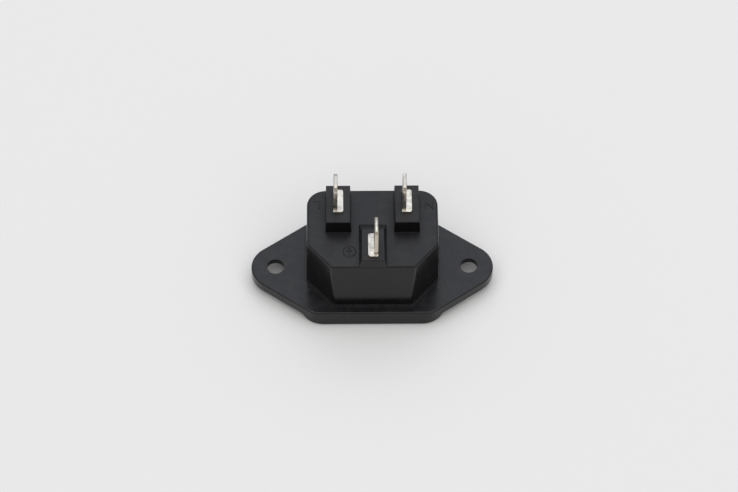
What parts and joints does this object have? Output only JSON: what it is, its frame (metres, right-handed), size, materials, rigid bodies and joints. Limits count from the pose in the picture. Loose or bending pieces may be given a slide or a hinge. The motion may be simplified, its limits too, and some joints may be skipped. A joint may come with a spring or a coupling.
{
  "type": "panel inlet socket",
  "caption": "Black screw-mounted C14 mains inlet for a panel: keyed socket with flat pins in front, push-on tabs on raised pads behind, countersunk holes in a pointed flange.",
  "frame": {"origin": "middle of the mating face, on the line between the two screw holes", "axes": "+X along the flange from the line pin to the neutral pin, +Y from the earth pin towards the line and neutral pins, +Z from the mating face towards the tabs"},
  "size_m": [0.05, 0.0238, 0.027],
  "materials": {
    "housing": "black moulded thermoplastic, satin with a fine moulded grain",
    "terminal": "tin-plated brass, bare brass showing at sheared edges"
  },
  "bodies": {
    "root": {"housing": "housing", "line_terminal": "terminal", "neutral_terminal": "terminal", "earth_terminal": "terminal"}
  },
  "joints": []
}
